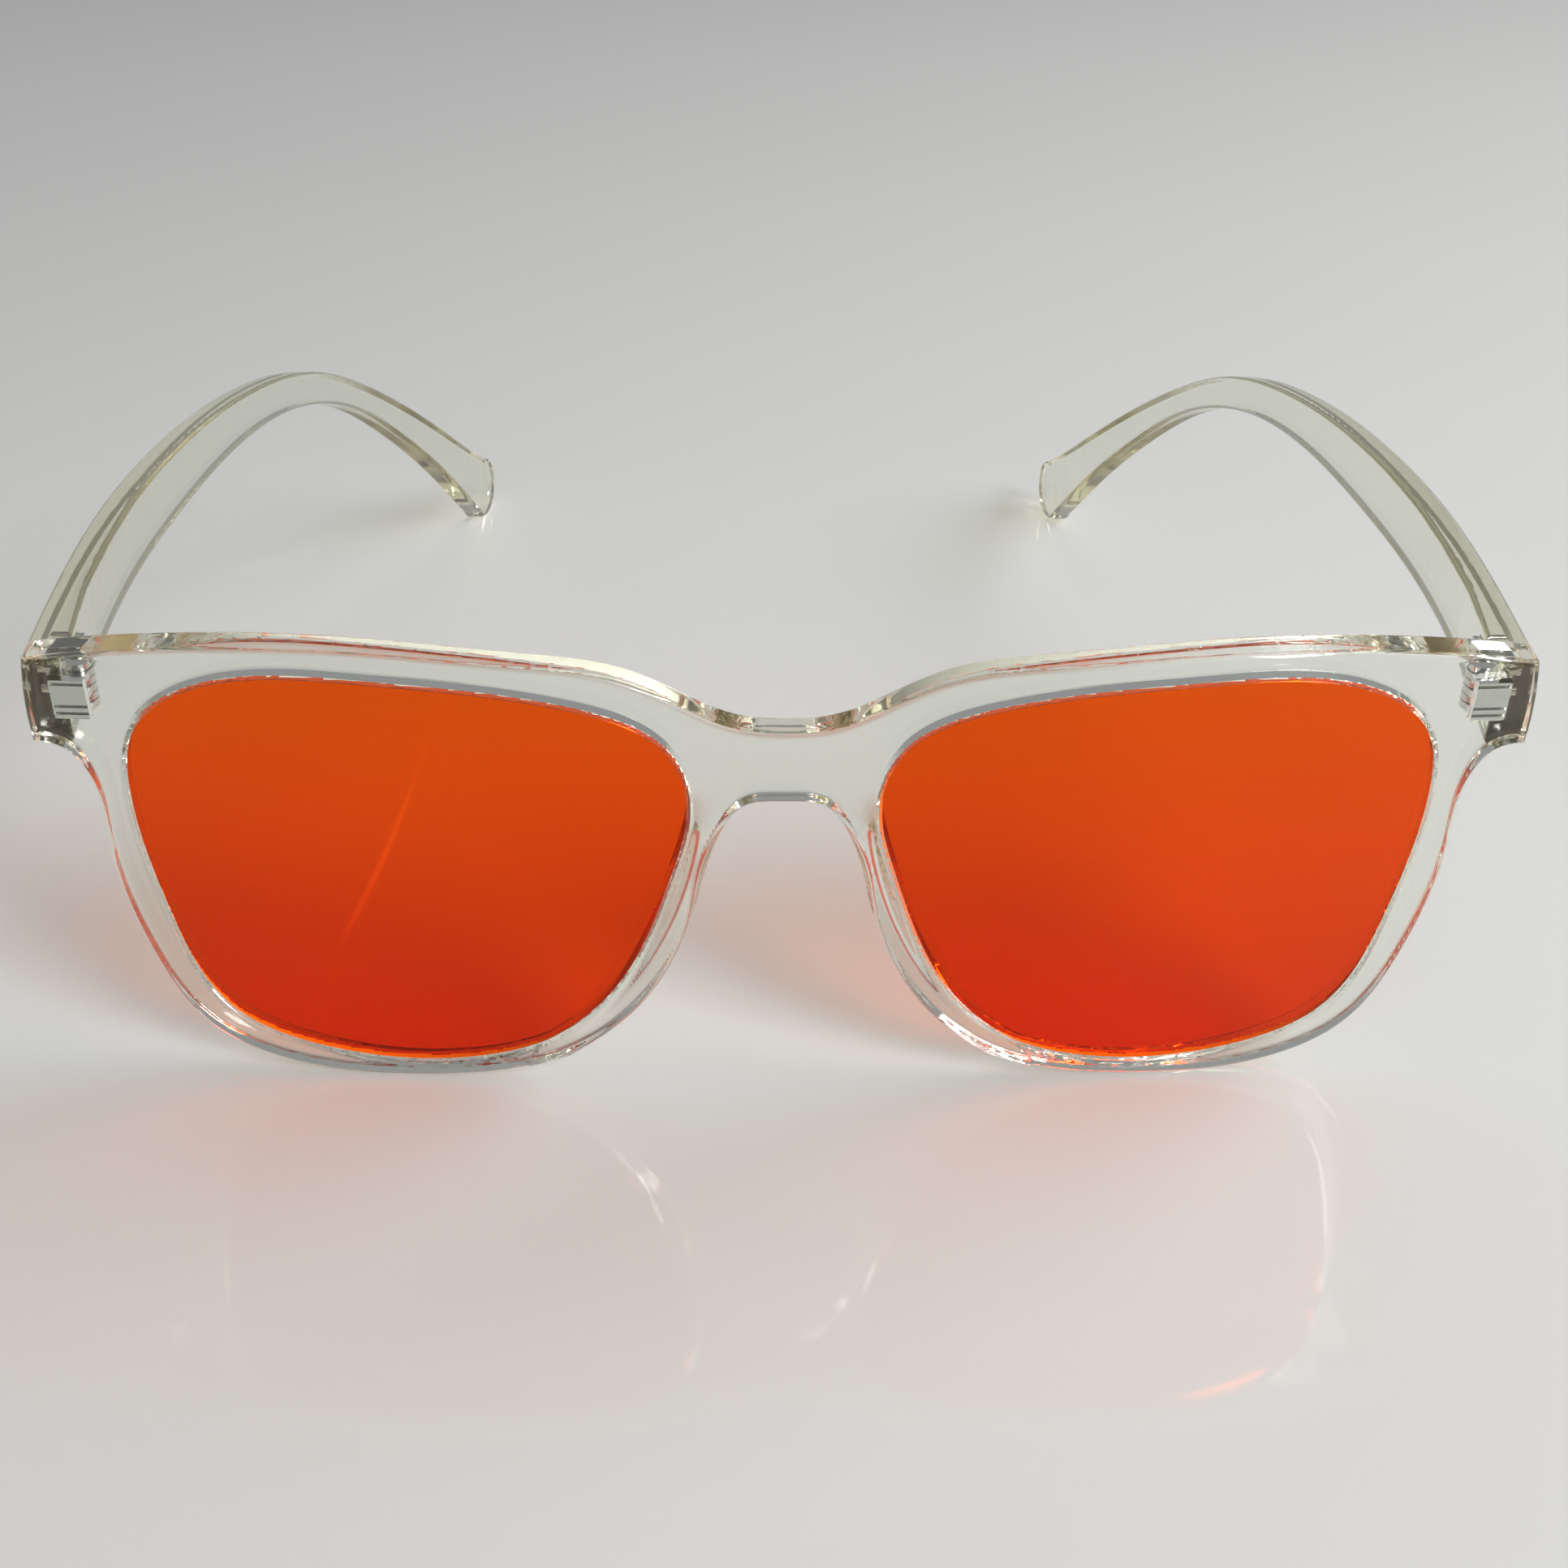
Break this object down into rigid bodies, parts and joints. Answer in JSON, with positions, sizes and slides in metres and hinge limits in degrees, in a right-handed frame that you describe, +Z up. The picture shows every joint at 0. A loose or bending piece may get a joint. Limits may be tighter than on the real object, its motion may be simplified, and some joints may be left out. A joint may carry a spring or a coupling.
{
  "type": "blue light glasses",
  "caption": "Clear oversized square glasses with orange blue-light filter lenses, moulded nose pads and temples that fold inwards on steel barrel hinges.",
  "frame": {"origin": "on the surface the open glasses stand on, at the middle of their footprint", "axes": "+Z up, -Y the way the wearer looks, +X to the wearer's left; right and left in the node names are +X and -X"},
  "size_m": [0.145, 0.153, 0.0521],
  "materials": {
    "frame_acetate": "polished clear acetate with a faint grey-green tint",
    "temple_acetate": "polished clear acetate, olive where light runs along it",
    "lens_tint": "tinted orange-red through, polished, thin anti-reflection coating",
    "hinge_steel": "stamped and tumbled bright steel",
    "screw_steel": "turned and polished steel",
    "rivet_steel": "plain drawn steel"
  },
  "bodies": {
    "front": {"front_frame": "frame_acetate", "lens_left": "lens_tint", "lens_right": "lens_tint", "hinge_front_left": "hinge_steel", "hinge_front_right": "hinge_steel", "hinge_screw_left": "screw_steel", "hinge_screw_right": "screw_steel"},
    "temple_left": {"temple_left": "temple_acetate", "hinge_temple_left": "hinge_steel", "rivet_lower_left": "rivet_steel", "rivet_upper_left": "rivet_steel"},
    "temple_right": {"temple_right": "temple_acetate", "hinge_temple_right": "hinge_steel", "rivet_lower_right": "rivet_steel", "rivet_upper_right": "rivet_steel"}
  },
  "joints": [
    {"name": "temple_left_fold", "type": "hinge", "parent": "front", "child": "temple_left", "pos_m": [-0.0654, -0.0671, 0.04492], "axis": [0, 0, -1], "range_deg": [0, 78]},
    {"name": "temple_right_fold", "type": "hinge", "parent": "front", "child": "temple_right", "pos_m": [0.0654, -0.0671, 0.04492], "axis": [0, 0, 1], "range_deg": [0, 72]}
  ]
}
